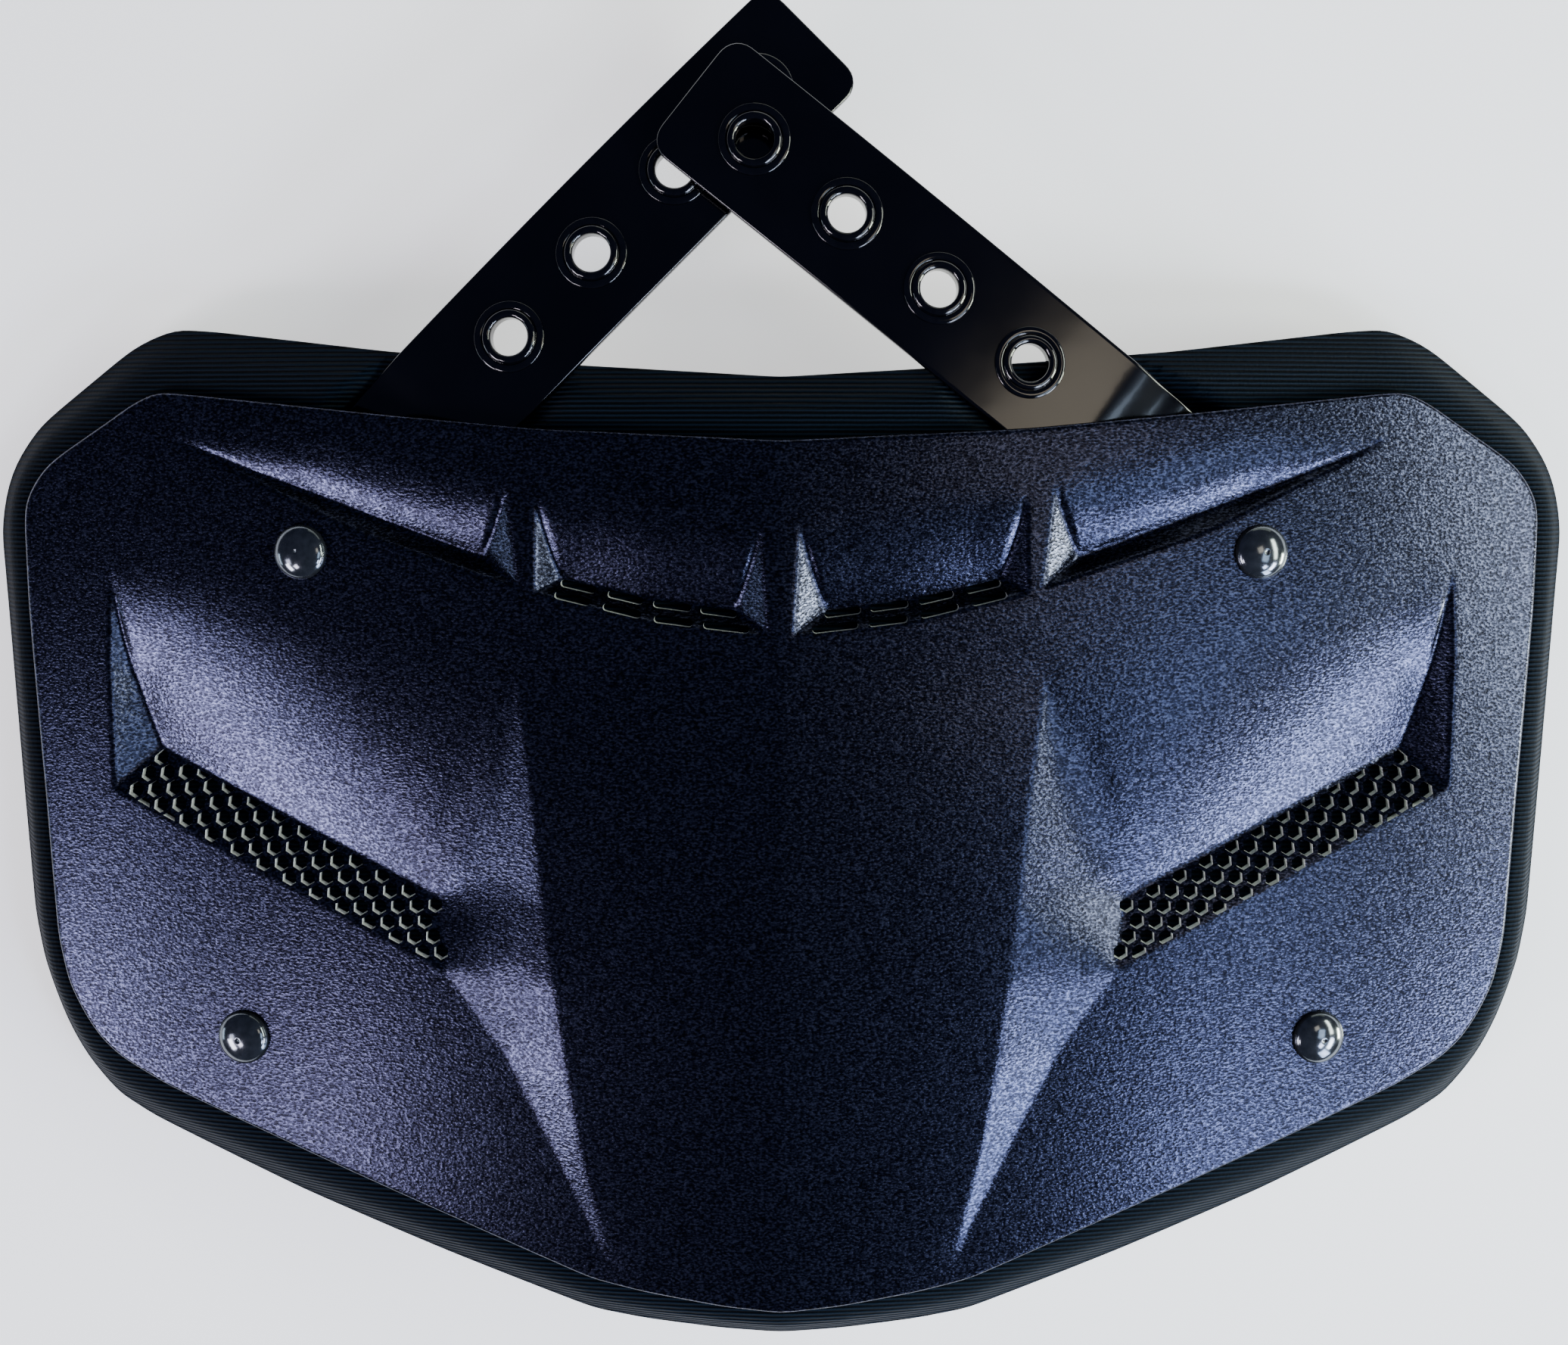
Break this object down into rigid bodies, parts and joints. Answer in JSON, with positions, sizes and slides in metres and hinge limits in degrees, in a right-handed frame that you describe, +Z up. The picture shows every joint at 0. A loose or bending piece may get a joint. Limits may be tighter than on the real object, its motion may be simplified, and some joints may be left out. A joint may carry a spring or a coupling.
{
  "type": "football backplate",
  "caption": "Moulded back guard plate with sculpted vents on a padded backing, with crossed eyelet straps for hanging it below shoulder pads.",
  "frame": {"origin": "centre of the bounding box's underside, on the surface that the pad lies on", "axes": "+X to the plate's right as seen from outside, +Y toward the straps, +Z up out of the shell's face"},
  "size_m": [0.3656, 0.3016, 0.0505],
  "materials": {
    "shell": "fine horizontal metallic grain, satin",
    "knit": "fine horizontally ribbed knit, matt",
    "vinyl": "smooth, glossy",
    "enamel": "glossy black enamel"
  },
  "bodies": {
    "root": {"shell_plate": "shell", "foam_pad": "knit", "strap_left": "vinyl", "strap_right": "vinyl", "eyelet_left_1": "enamel", "eyelet_left_2": "enamel", "eyelet_left_3": "enamel", "eyelet_left_4": "enamel", "eyelet_right_1": "enamel", "eyelet_right_2": "enamel", "eyelet_right_3": "enamel", "eyelet_right_4": "enamel", "rivet_upper_left": "enamel", "rivet_upper_right": "enamel", "rivet_lower_left": "enamel", "rivet_lower_right": "enamel"}
  },
  "joints": []
}
